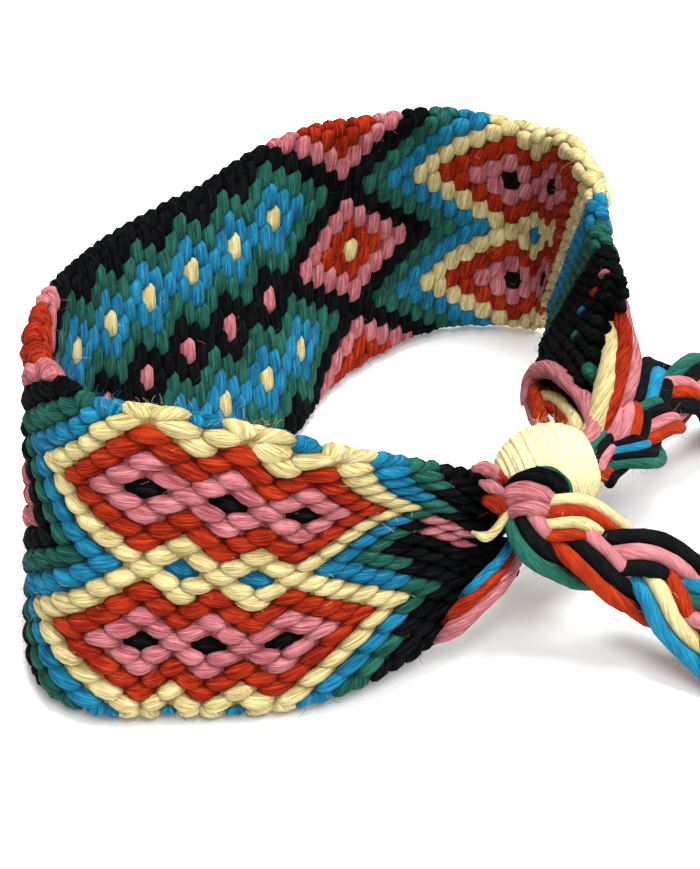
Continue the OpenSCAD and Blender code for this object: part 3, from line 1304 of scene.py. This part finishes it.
@dataclass
class BraidedTie:
    """A three-strand braid of several strings a strand, with its end knot and cut strings."""

    name: str
    route: list[list[float]]
    # each bundle's strings, from its near side to its far side
    bundles: list[list[BraidString]]
    phase: float = 0.0
    pitch: float = 22.5
    # how far the bundles swing to either side and up and down
    wide: float = 1.95
    high: float = 1.05
    # a cut string's radius
    string: float = 0.68
    # width that the strings of a bundle share, and the most that one of them takes
    fill: float = 4.15
    widest: float = 1.38
    crown: float = 0.10
    under: float = 1.25
    # strings press into their neighbours by this
    press: float = 0.07
    # the braid is narrower where it leaves the wrap
    neck_share: float = 0.55
    neck_thickness: float = 0.4
    neck_length: float = 7.0
    end: TieEnd = TieEnd()
    # width of the whole braid, measured on its mesh
    breadth: float = 8.2
    # the braid settles on to the surface over this stretch, and lies level after it
    settles_from: float = 20.0
    settles_over: float = 12.0
    sink: float = 1.25
    tilt: float = 38.0
    # the first part stands off its route by this, which fades from a place over a stretch
    raised: tuple[float, float, float] = (0.0, 0.0, 0.0)
    raised_until: float = 23.0
    raised_over: float = 10.0
    # the strings start this far before the route does
    lead: float = 0.8
    # painted light: how far the braid's yarn is pushed towards its light tone
    painted_light: float = 0.22

    def length(self) -> float:
        """Return the braid's length."""
        r = np.array(self.route)
        return float(np.linalg.norm(np.diff(r, axis=0), axis=1).sum())

    def yarns(self) -> list[Yarn]:
        """Return the yarns of all the strings."""
        return [s.yarn for bundle in self.bundles for s in bundle]

    def middle(self, run: np.ndarray) -> tuple[np.ndarray, np.ndarray, np.ndarray, np.ndarray]:
        """Follow the braid's middle line.

        Args:
            run: distances along the braid.

        Returns:
            Points, and the ways along, sideways and up there.
        """
        rows = np.array(self.route)
        place = run / self.length() * (len(rows) - 1)
        settled = ease((run - self.settles_from) / self.settles_over)
        raised = 1.0 - ease((run - self.raised_until) / self.raised_over)
        p = through(rows, place) + SHIFT
        p[:, 2] -= self.sink * settled
        p += np.array(self.raised) * raised[:, None]
        line = unit(through(rows, place + 0.05) - through(rows, place - 0.05))
        level = unit(np.cross(line, UP))
        rise = np.cross(level, line)
        tilt = np.radians(self.tilt * (1.0 - settled))[:, None]
        side = level * np.cos(tilt) - rise * np.sin(tilt)
        return p, line, side, rise * np.cos(tilt) + level * np.sin(tilt)

    def string_route(self, bundle: int, k: int, n: int = 96) -> tuple[np.ndarray, np.ndarray]:
        """Return the route of one string of a bundle, and its half thickness on the way.

        Args:
            bundle: which of the three bundles.
            k: which of its strings, from the near side.
            n: points on the route.

        Returns:
            The route, and the radius at each of its points.
        """
        run = np.linspace(-self.lead, self.length(), n)
        p, _, side, up = self.middle(run)
        size = self.neck_share + (1 - self.neck_share) * ease(run / self.neck_length)
        a = 2 * math.pi * (run / self.pitch + bundle / 3.0 + self.phase)
        flat = (p + side * (size * self.wide * np.sin(a))[:, None]
                + up * (size * self.high * np.sin(2 * a))[:, None])
        shares = np.array([s.share(a) for s in self.bundles[bundle]])
        total = shares.sum(0)
        step = np.minimum(self.widest, self.fill / total)
        offset = (np.cumsum(shares, 0)[k] - shares[k] / 2 - total / 2) * step * size
        dip = (self.under * (1.0 - shares[k]) + self.crown * offset**2) * size
        across = unit(np.cross(up, unit(np.gradient(flat, axis=0))))
        path = flat + across * offset[:, None] - up * dip[:, None]
        thin = self.neck_thickness
        radius = (0.5 * step + self.press) * (thin + (1 - thin) * size)
        path[:, 2] = np.maximum(path[:, 2], radius)
        return path, radius

    def end_frame(self) -> tuple[np.ndarray, np.ndarray, np.ndarray]:
        """Return the end knot's middle, and the level ways along and sideways there."""
        end, line, _, _ = (v[0] for v in self.middle(np.array([self.length()])))
        line = unit(np.array([line[0], line[1], 0.0]))
        hub = np.array([end[0], end[1], self.end.knot]) + line * (self.end.knot + self.end.gap)
        return hub, line, unit(np.cross(line, UP))

    def tie_knot(self, sheets: YarnSheets) -> None:
        """Tie the end knot.

        Args:
            sheets: mesh of each yarn.
        """
        hub, line, side = self.end_frame()
        end, yarns = self.end, self.yarns()
        t = np.linspace(0.0, 1.0, end.loop_samples)
        for k in range(end.loops):
            angle = 2 * math.pi * (end.loop_turns * t + k / end.loops)
            along = (t - 0.5) * end.loop_length + end.loop_sway * math.cos(k * end.loop_phase)
            rim = np.sqrt(np.maximum(1 - (along / end.closes_at)**2, 0.05))
            rho = (end.knot - self.string - 0.1) * rim - end.loop_under * (k % 2)
            route = (hub + line * along[:, None] + side * (rho * np.cos(angle))[:, None]
                     + UP * (rho * np.sin(angle))[:, None])
            Strand(sides=8).add(sheets[yarns[(2 * k) % len(yarns)]], route,
                                np.full(len(t), self.string + end.swell), start=2.0 * k)

    def lay_cut_strings(self, sheets: YarnSheets) -> None:
        """Lay out the cut strings beyond the end knot.

        Args:
            sheets: mesh of each yarn.
        """
        rng = random.Random(len(self.name))
        hub, line, side = self.end_frame()
        end, yarns = self.end, self.yarns()
        size = np.full(end.tassel_samples, self.string)
        size[-2:] *= (0.95, 0.8)
        for k, yarn in enumerate(yarns):
            angle = 2 * math.pi * k / len(yarns) + rng.uniform(-0.3, 0.3)
            rho = 0.45 + 1.1 * (k % 2)
            a = hub + line * 0.6 + side * rho * 0.8 * math.cos(angle) + UP * rho * math.sin(angle)
            fan = side * end.tassel_fan * math.cos(angle) * (0.6 + 0.4 * (k % 2))
            low = UP * (self.string + end.clearance + end.layer_height * (k % 3) - hub[2])
            reach = end.knot + end.tassel * rng.uniform(*end.cut_lengths)
            d = hub + line * reach + fan + low
            route = bezier(a, a + line * end.handles[0],
                           d - line * end.handles[1] - low * 0.15, d, len(size))
            route[:, 2] = np.maximum(route[:, 2], self.string + 0.05)
            Strand(sides=8).add(sheets[yarn], route, size, start=5.0 * k)

    def plait(self) -> YarnSheets:
        """Plait the braid, tie its knot and lay out its cut strings.

        Returns:
            The mesh of each yarn.
        """
        sheets = YarnSheets()
        for b, strings in enumerate(self.bundles):
            for k, string in enumerate(strings):
                route, thick = self.string_route(b, k)
                Strand().add(sheets[string.yarn], route, thick, start=4.0 * (5 * b + k))
        self.tie_knot(sheets)
        self.lay_cut_strings(sheets)
        return sheets

    def centreline(self) -> np.ndarray:
        """Return the middle line of the braid, its knot and its cut strings."""
        hub, line, _ = self.end_frame()
        end = self.end
        tail = np.array([hub - line * end.knot, hub, hub + line * end.knot,
                         hub + line * (end.knot + end.tassel * 0.95) - UP * 1.6])
        return np.vstack([self.middle(np.linspace(0.0, self.length(), 26))[0], tail])

    def build(self, maker: Piece) -> bpy.types.Object:
        """Args:
            maker: makes pieces of meshes.

        Returns:
            The tie.
        """
        sheets = self.plait()
        order = sorted(sheets, key=lambda y: -len(sheets[y].verts))
        whole = bmesh.new()
        whole.loops.layers.uv.new(FIBRE_MAP)
        marks: list[int] = []
        for yarn in order:
            bm = sheets[yarn]
            bmesh.ops.recalc_face_normals(bm, faces=bm.faces)
            part = bpy.data.meshes.new("part")
            bm.to_mesh(part)
            bm.free()
            whole.from_mesh(part)
            bpy.data.meshes.remove(part)
            marks.append(len(whole.faces))
        mesh = bpy.data.meshes.new(f"{self.name}_braid")
        whole.to_mesh(mesh)
        whole.free()
        nodes = tuple(f"{self.name}_{end}" for end in ("1", "2", "3", "end"))
        obj = maker.adopt(mesh, f"{self.name}_braid", order[0], nodes, self.painted_light)
        for yarn in order[1:]:
            mesh.materials.append(maker.basket.materials[yarn])
        slots = np.repeat(np.arange(len(order)), np.diff([0, *marks]))
        mesh.polygons.foreach_set("material_index", slots)
        line = self.centreline()
        path = [tuple(float(c) * MM for c in p) for p in line]
        path[0]
        return obj


@dataclass
class StrayFibres:
    """Short loose hairs that stand off the yarn."""

    shape: BandShape
    seed: int = 5
    radius: float = 0.014
    steps: int = 4
    # no hair's tip is lower than this
    lowest: float = 0.1
    string_sizes: tuple[float, float] = (0.3, 1.1)
    # most hairs of the knots are short, some are long, and those of the top edge are short
    short_sizes: tuple[float, float] = (0.4, 1.2)
    long_sizes: tuple[float, float] = (1.4, 2.4)
    short_share: float = 0.96
    rim_longest: float = 0.85

    def hair(self) -> bpy.types.Mesh:
        """Make one closed hair.

        Returns:
            Its mesh: X is the place along it, Y and Z its three-sided section.
        """
        bm = bmesh.new()
        last = self.steps + 2
        bmesh.ops.create_grid(bm, x_segments=last, y_segments=3, size=1.0)
        for v in bm.verts:
            i = cell(v.co.x, last)
            a = 2 * math.pi * (cell(v.co.y, 3) % 3) / 3
            r = 0.0 if i in (0, last) else 1.0
            t = min(max(i - 1, 0) / self.steps, 1.0)
            v.co = Vector((t, r * math.cos(a), r * math.sin(a)))
        bmesh.ops.remove_doubles(bm, verts=bm.verts, dist=1e-6)
        mesh = bpy.data.meshes.new("hair")
        bm.to_mesh(mesh)
        bm.free()
        return mesh

    def lay(self, bends: list[list[np.ndarray]], name: str) -> bpy.types.Mesh:
        """Bend a copy of the hair from each root over a middle point to its tip.

        Args:
            bends: root, middle point and tip of each hair.
            name: the new mesh's name.

        Returns:
            One mesh with all the hairs.
        """
        hair = self.hair()
        co = np.empty(len(hair.vertices) * 3)
        hair.vertices.foreach_get("co", co)
        t, y, z = (co.reshape(-1, 3)[:, c][None, :, None] for c in range(3))
        root, mid, tip = (np.array(bends)[:, c][:, None, :] for c in range(3))
        way = unit(tip - root)
        side = unit(np.cross(way, np.array([0.3, 0.1, 0.95])))
        up = np.cross(side, way)
        line = root * (1 - t)**2 + 2 * mid * t * (1 - t) + tip * t * t
        points = line + (side * y + up * z) * self.radius
        mesh = tile(hair, points.reshape(-1, 3) * MM, name)
        face_out(mesh, len(hair.polygons))
        return mesh

    def over_strings(self, maker: Piece, pieces: list[bpy.types.Object], share: float) -> None:
        """Scatter hairs over strings.

        Args:
            maker: makes pieces of meshes.
            pieces: the strings.
            share: hairs for each square millimetre.
        """
        rng = random.Random(self.seed + 1)
        yarn_of = {mat: yarn for yarn, mat in maker.basket.materials.items()}
        sheets: dict[Yarn, list[list[np.ndarray]]] = {}
        for obj in pieces:
            for face in obj.data.polygons:
                if rng.random() > face.area / MM**2 * share:
                    continue
                root = np.array(face.center) / MM
                away = np.array(face.normal)
                drift = np.array([rng.uniform(-1, 1) for _ in range(3)])
                size = rng.uniform(*self.string_sizes)
                tip = root + (away * 0.75 + drift * 0.6) * size
                if tip[2] > self.lowest:
                    yarn = yarn_of[obj.data.materials[face.material_index]]
                    sheets.setdefault(yarn, []).append([root, root + away * size * 0.5, tip])
        for yarn, bends in sheets.items():
            name = f"stray_string_fibres_{yarn.name.lower()}"
            maker.adopt(self.lay(bends, name), name, yarn)

    def over_knots(self, maker: Piece, sets: dict[Yarn, list[Stamp]], share: float,
                   rim_share: float) -> None:
        """Scatter hairs over the knots of each yarn.

        Args:
            maker: makes pieces of meshes.
            sets: the pads of each yarn.
            share: hairs for each pad.
            rim_share: further hairs for each pad of the top edge.
        """
        rng = random.Random(self.seed)
        for yarn, stamps in sets.items():
            rim = [s for s in stamps if s.proud > 0 and s.w > 11.5]
            picks = [rng.choice(stamps) for _ in range(int(len(stamps) * share))]
            general = len(picks)
            picks += [rng.choice(rim) for _ in range(int(len(rim) * rim_share))]
            u = np.array([s.u + rng.uniform(-0.9, 0.9) for s in picks])
            w = np.array([s.w + rng.uniform(-0.8, 0.8) for s in picks])
            out = np.array([math.copysign(abs(s.base + s.proud) - 0.15, s.base) for s in picks])
            roots = self.shape.place(u, w, out)
            lifts = unit(self.shape.place(u, w, out * 2.0) - roots)
            _, along, across, _, _ = self.shape.frames(u)
            bends = []
            for k, root in enumerate(roots):
                short = rng.random() < self.short_share
                size = rng.uniform(*(self.short_sizes if short else self.long_sizes))
                size = min(size, self.rim_longest) if k >= general else size
                lift = lifts[k] * rng.uniform(0.4, 1.0)
                drift = along[k] * rng.uniform(-1, 1) + across[k] * rng.uniform(-0.6, 0.6)
                tip = root + (lift + drift) * size * 0.75
                if tip[2] > self.lowest:
                    bends.append([root, root + lift * size * 0.55, tip])
            name = f"stray_fibres_{yarn.name.lower()}"
            maker.adopt(self.lay(bends, name), name, yarn)


@dataclass(frozen=True)
class SoftLamp:
    """A round soft lamp: its place and size in metres, and its power in watts."""

    name: str
    spot: tuple[float, float, float]
    size: float
    power: float

    def hang(self) -> None:
        """Hang the lamp so that it faces the bracelet."""
        light = bpy.data.lights.new(self.name, "AREA")
        light.shape = "DISK"
        light.size = self.size
        light.energy = self.power
        obj = bpy.data.objects.new(self.name, light)
        obj.location = Vector(self.spot)
        look = Vector((0, 0, 0.01)) - Vector(self.spot)
        obj.rotation_euler = look.to_track_quat("-Z", "Y").to_euler()
        bpy.context.scene.collection.objects.link(obj)


@dataclass
class Studio:
    """Camera, floor and soft light."""

    eye: tuple[float, float, float] = (17.45, -172.0, 127.9)
    # the camera's turn in degrees, to the right, down and to one side
    yaw: float = -5.35
    pitch: float = 34.7
    roll: float = -3.70
    lens: float = 90.2
    # half the floor's side in metres, and how pale it is
    floor_half: float = 3.0
    floor_tone: float = 0.93
    # strength of the white light from all round
    sky: float = 0.55
    lamps: tuple[SoftLamp, ...] = (SoftLamp("key_lamp", (0.20, -0.50, 0.70), 0.40, 4.7),
                                   SoftLamp("top_lamp", (0.15, 0.05, 0.9), 0.45, 12.5),
                                   SoftLamp("side_lamp", (0.25, -0.10, 0.30), 0.15, 0.5))

    def camera(self) -> None:
        """Put the camera where the photograph was taken from."""
        cam = bpy.data.cameras.new("studio_camera")
        cam.lens = self.lens
        cam.sensor_width = 36.0
        cam.sensor_fit = "AUTO"
        cam.clip_start = 0.01
        cam.clip_end = 20.0
        obj = bpy.data.objects.new("studio_camera", cam)
        yaw, pitch, roll = (math.radians(a) for a in (self.yaw, self.pitch, self.roll))
        look = Vector((math.sin(yaw) * math.cos(pitch), math.cos(yaw) * math.cos(pitch),
                       -math.sin(pitch)))
        right = Vector((math.cos(yaw), -math.sin(yaw), 0.0))
        up = right.cross(look)
        rolled_right = right * math.cos(roll) + up * math.sin(roll)
        rolled_up = up * math.cos(roll) - right * math.sin(roll)
        turn = Matrix((rolled_right, rolled_up, -look)).transposed().to_4x4()
        turn.translation = Vector(self.eye) * MM
        obj.matrix_world = turn
        bpy.context.scene.collection.objects.link(obj)
        bpy.context.scene.camera = obj

    def lay_floor(self) -> None:
        """Lay the pale floor, which is no part of the bracelet."""
        bm = bmesh.new()
        bmesh.ops.create_grid(bm, x_segments=1, y_segments=1, size=self.floor_half)
        mesh = bpy.data.meshes.new("floor")
        bm.to_mesh(mesh)
        bm.free()
        floor = bpy.data.objects.new("floor", mesh)
        bpy.context.scene.collection.objects.link(floor)
        mat = bpy.data.materials.new("pale_floor")
        mat.use_nodes = True
        bsdf = mat.node_tree.nodes["Principled BSDF"]
        bsdf.inputs["Base Color"].default_value = (*[self.floor_tone] * 3, 1.0)
        bsdf.inputs["Roughness"].default_value = 0.9
        mesh.materials.append(mat)

    def build(self) -> None:
        """Lay the floor, light it and the bracelet, and choose how the colours are shown."""
        self.lay_floor()
        world = bpy.data.worlds.new("studio_world")
        world.use_nodes = True
        back = world.node_tree.nodes["Background"]
        back.inputs["Color"].default_value = (1.0, 1.0, 1.0, 1.0)
        back.inputs["Strength"].default_value = self.sky
        bpy.context.scene.world = world
        for lamp in self.lamps:
            lamp.hang()
        bpy.context.scene.view_settings.view_transform = "Standard"


def front_strings(shape: BandShape, middle: tuple[float, float, float]) -> GatheredStrings:
    """Set out the strings of the front end, and those that cross over and under them.

    Args:
        shape: the band's surface.
        middle: the wrap's middle.

    Returns:
        The strings.
    """
    rows = [(12, Yarn.PINK), (10, Yarn.PINK), (8, Yarn.ORANGE), (6, Yarn.PINK), (4, Yarn.ORANGE),
            (2, Yarn.YELLOW), (0, Yarn.BLACK), (-2, Yarn.BLACK), (-4, Yarn.BLACK),
            (-6, Yarn.BLUE), (-8, Yarn.ORANGE), (-10, Yarn.ORANGE), (-12, Yarn.PINK)]
    strings = [EndString(r, y, 0.35 if k % 2 else -0.1) for k, (r, y) in enumerate(rows)]
    back = [EndString(r, Yarn.BLACK, -0.6) for r in (10, 6, 2, -2, -6, -10)]
    loops = [
        LooseString(Yarn.BLACK, 0.80, [[16.7, -19.4, 15.6], [17.9, -19.0, 16.5],
                                       [19.3, -18.8, 16.8], [20.6, -18.8, 16.2],
                                       [21.3, -19.1, 15.1]]),
        LooseString(Yarn.GREEN, 0.50, [[19.0, -18.4, 17.0], [20.4, -18.2, 16.7],
                                       [21.5, -18.4, 15.6], [21.8, -18.7, 14.6]]),
        LooseString(Yarn.PINK, 0.92, [[16.5, -19.7, 14.1], [17.0, -20.1, 15.7],
                                      [18.2, -20.3, 16.2], [19.5, -20.1, 15.6],
                                      [20.5, -19.5, 13.9]]),
        LooseString(Yarn.PINK, 0.80, [[16.6, -20.2, 13.4], [17.4, -20.9, 14.8],
                                      [18.6, -21.1, 15.1], [19.8, -20.7, 14.4],
                                      [20.6, -19.8, 13.2]]),
        LooseString(Yarn.PINK, 0.66, [[13.7, -21.4, 19.5], [14.7, -20.4, 18.8],
                                      [15.6, -19.2, 17.0], [16.3, -18.4, 15.1],
                                      [16.9, -17.2, 12.9]], tip=0.5),
        LooseString(Yarn.PINK, 0.58, [[14.3, -21.8, 18.3], [15.1, -21.0, 17.3],
                                      [15.9, -20.0, 15.8], [16.4, -19.1, 14.3],
                                      [17.0, -18.4, 12.8]], tip=0.5),
        LooseString(Yarn.ORANGE, 0.56, [[15.0, -20.2, 18.5], [15.7, -19.4, 17.3],
                                        [16.3, -18.7, 15.7], [16.8, -18.2, 13.7]], tip=0.6),
        LooseString(Yarn.ORANGE, 0.74, [[14.5, -21.8, 16.5], [15.3, -21.4, 15.9],
                                        [16.0, -20.4, 14.6], [16.8, -19.2, 13.1]], tip=0.6),
        LooseString(Yarn.YELLOW, 0.44, [[13.4, -22.8, 13.8], [14.5, -23.0, 13.4],
                                        [15.3, -22.4, 13.4], [16.1, -21.4, 14.0],
                                        [16.6, -20.2, 14.8]], tip=0.35),
        LooseString(Yarn.PINK, 0.80, [[9.8, -25.4, 3.5], [11.4, -26.1, 5.4], [13.6, -25.4, 7.3],
                                      [15.7, -23.5, 8.5], [16.8, -21.6, 9.2],
                                      [18.2, -18.6, 11.2]], tip=0.3),
        LooseString(Yarn.ORANGE, 0.66, [[10.7, -25.0, 5.4], [12.0, -25.6, 7.2],
                                        [13.8, -25.1, 8.8], [15.5, -23.2, 9.6],
                                        [16.5, -21.4, 9.9], [18.2, -18.6, 11.8]], tip=0.3),
        LooseString(Yarn.BLUE, 0.46, [[12.2, -24.2, 7.6], [13.3, -25.0, 9.3],
                                      [14.6, -24.2, 10.3], [16.0, -22.5, 10.7],
                                      [17.6, -19.6, 12.0]], tip=0.3),
    ]
    return GatheredStrings(shape, "front_strings", -1, (216, -10), middle,
                           strings + back, loops, radius=0.90)


def back_strings(shape: BandShape, middle: tuple[float, float, float]) -> GatheredStrings:
    """Set out the strings of the back end, with the bowed ones over them.

    Args:
        shape: the band's surface.
        middle: the wrap's middle.

    Returns:
        The strings.
    """
    rows = [(2, Yarn.BLACK), (0, Yarn.GREEN), (-2, Yarn.BLACK), (-4, Yarn.BLACK),
            (-6, Yarn.ORANGE), (-8, Yarn.BLACK), (-10, Yarn.ORANGE), (-12, Yarn.PINK)]
    strings = [EndString(r, y, 0.35 if k % 2 else -0.35) for k, (r, y) in enumerate(rows)]
    inner = [EndString(r, y, 0.9) for r, y in ((1, Yarn.BLACK), (-3, Yarn.BLACK),
                                               (-7, Yarn.PINK), (-10, Yarn.BLUE))]
    loops = [
        LooseString(Yarn.PINK, 0.88, [[18.7, 2.8, 9.5], [18.7, 3.8, 11.1], [19.3, 3.8, 12.7],
                                      [20.7, 1.8, 14.2], [22.3, -1.7, 15.1], [23.7, -5.2, 15.3],
                                      [24.3, -8.2, 15.2], [23.9, -10.4, 14.6],
                                      [22.3, -12.2, 14.0]]),
        LooseString(Yarn.PINK, 0.70, [[19.3, 6.5, 8.0], [18.9, 3.5, 9.0], [19.0, 0.0, 10.5],
                                      [19.8, -8.0, 13.4], [19.8, -11.4, 13.3]]),
        LooseString(Yarn.ORANGE, 0.80, [[19.3, 3.8, 11.1], [19.3, 0.8, 11.3], [19.6, -3.2, 12.0],
                                        [20.2, -8.2, 13.4], [20.2, -11.4, 13.3]]),
        LooseString(Yarn.YELLOW, 0.72, [[20.0, 1.8, 11.1], [21.1, -0.2, 12.2], [22.1, -3.2, 13.1],
                                        [22.8, -7.2, 14.2], [22.7, -10.0, 14.4],
                                        [21.6, -12.2, 14.0]]),
        LooseString(Yarn.ORANGE, 0.72, [[20.0, 0.8, 10.9], [21.0, -1.2, 11.8], [21.9, -4.2, 12.7],
                                        [22.2, -8.2, 13.9], [21.3, -11.4, 13.7]]),
        LooseString(Yarn.BLACK, 1.10, [[22.8, 0.5, 14.4], [23.1, -2.0, 13.4], [23.4, -5.0, 13.2],
                                       [23.2, -9.0, 13.0]]),
        LooseString(Yarn.YELLOW, 0.98, [[25.7, 2.6, 20.6], [26.2, 1.3, 20.1], [26.3, -0.7, 18.9],
                                        [25.9, -3.2, 17.8], [25.2, -6.2, 16.4], [24.1, -9.4, 14.6],
                                        [22.3, -11.8, 13.8]]),
        LooseString(Yarn.ORANGE, 0.85, [[26.0, 3.2, 22.0], [26.7, 1.8, 21.1], [27.4, -0.7, 19.5],
                                        [27.0, -3.2, 17.8], [26.1, -6.2, 16.0], [24.6, -9.0, 14.4],
                                        [22.5, -11.4, 13.6]]),
        LooseString(Yarn.PINK, 0.85, [[27.0, 2.4, 21.4], [27.4, 0.8, 20.2], [28.1, -1.7, 18.0],
                                      [27.8, -3.7, 16.2], [26.6, -6.2, 15.0], [25.0, -8.8, 13.8],
                                      [22.7, -11.2, 13.2]]),
    ]
    return GatheredStrings(shape, "back_strings", 1, (84, 8), middle,
                           strings + inner, loops, drop=(2.2, 0.6, -2.4))


def front_tie() -> BraidedTie:
    """Set out the tie in front of the band's end."""
    return BraidedTie(
        "front_tie",
        [[17.2, -19.5, 13.4], [18.1, -21.3, 12.9], [19.9, -22.5, 12.1], [22.4, -23.0, 11.0],
         [25.2, -23.3, 9.6], [28.0, -23.7, 8.1], [30.6, -24.7, 6.5], [33.0, -26.5, 5.1],
         [35.6, -28.6, 4.0], [38.6, -30.3, 3.4], [41.8, -31.2, 3.3], [45.2, -31.7, 3.3],
         [48.6, -31.8, 3.3]],
        [[BraidString(Yarn.GREEN, Tuck.FAR), BraidString(Yarn.BLACK), BraidString(Yarn.PINK),
          BraidString(Yarn.BLACK, Tuck.NEAR)],
         [BraidString(Yarn.BLUE, Tuck.FAR), BraidString(Yarn.ORANGE, Tuck.NEAR),
          BraidString(Yarn.YELLOW), BraidString(Yarn.ORANGE), BraidString(Yarn.YELLOW, Tuck.NEAR)],
         [BraidString(Yarn.ORANGE, Tuck.FAR), BraidString(Yarn.BLACK, Tuck.FAR),
          BraidString(Yarn.PINK), BraidString(Yarn.GREEN, Tuck.NEAR),
          BraidString(Yarn.BLUE, Tuck.NEAR)]],
        phase=-0.034, raised=(0.0, 0.7, 1.1))


def back_tie() -> BraidedTie:
    """Set out the tie behind the wrap."""
    return BraidedTie(
        "back_tie",
        [[24.9, -11.4, 13.2], [26.8, -9.2, 13.1], [28.3, -6.0, 12.9], [29.3, -2.5, 12.5],
         [30.7, 1.0, 11.6], [32.7, 4.2, 10.2], [35.2, 6.9, 8.4], [38.1, 9.1, 6.4],
         [41.4, 10.6, 4.7], [44.8, 11.6, 3.6], [48.1, 12.4, 3.3], [51.3, 13.4, 3.3]],
        [[BraidString(Yarn.GREEN, Tuck.FAR), BraidString(Yarn.BLACK), BraidString(Yarn.BLUE),
          BraidString(Yarn.BLACK)],
         [BraidString(Yarn.BLACK), BraidString(Yarn.ORANGE), BraidString(Yarn.PINK),
          BraidString(Yarn.PINK, Tuck.NEAR)],
         [BraidString(Yarn.ORANGE, Tuck.FAR), BraidString(Yarn.PINK), BraidString(Yarn.BLACK),
          BraidString(Yarn.GREEN)]],
        tilt=36.0, lead=2.8)


def main() -> None:
    """Build the bracelet from its camera to its stray fibres."""
    logging.basicConfig(level=logging.INFO, format="%(message)s")
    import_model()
    studio = Studio()
    studio.camera()
    maker = Piece(YarnBasket())
    ties = [tie.build(maker) for tie in (front_tie(), back_tie())]
    shape = BandShape()
    band = KnottedBand(shape, KnotChart())
    band.build(maker)
    wrap = WoundWrap()
    ball = wrap.build(maker)
    front_strings(shape, wrap.middle).build(maker)
    back_strings(shape, wrap.middle).build(maker)
    fibres = StrayFibres(shape)
    fibres.over_knots(maker, band.stamps(), share=1.5, rim_share=12.0)
    fibres.over_strings(maker, [*ties, ball], share=0.45)
    studio.build()
    LOG.info("%d pieces", maker.count)


if __name__ == "__main__":
    main()
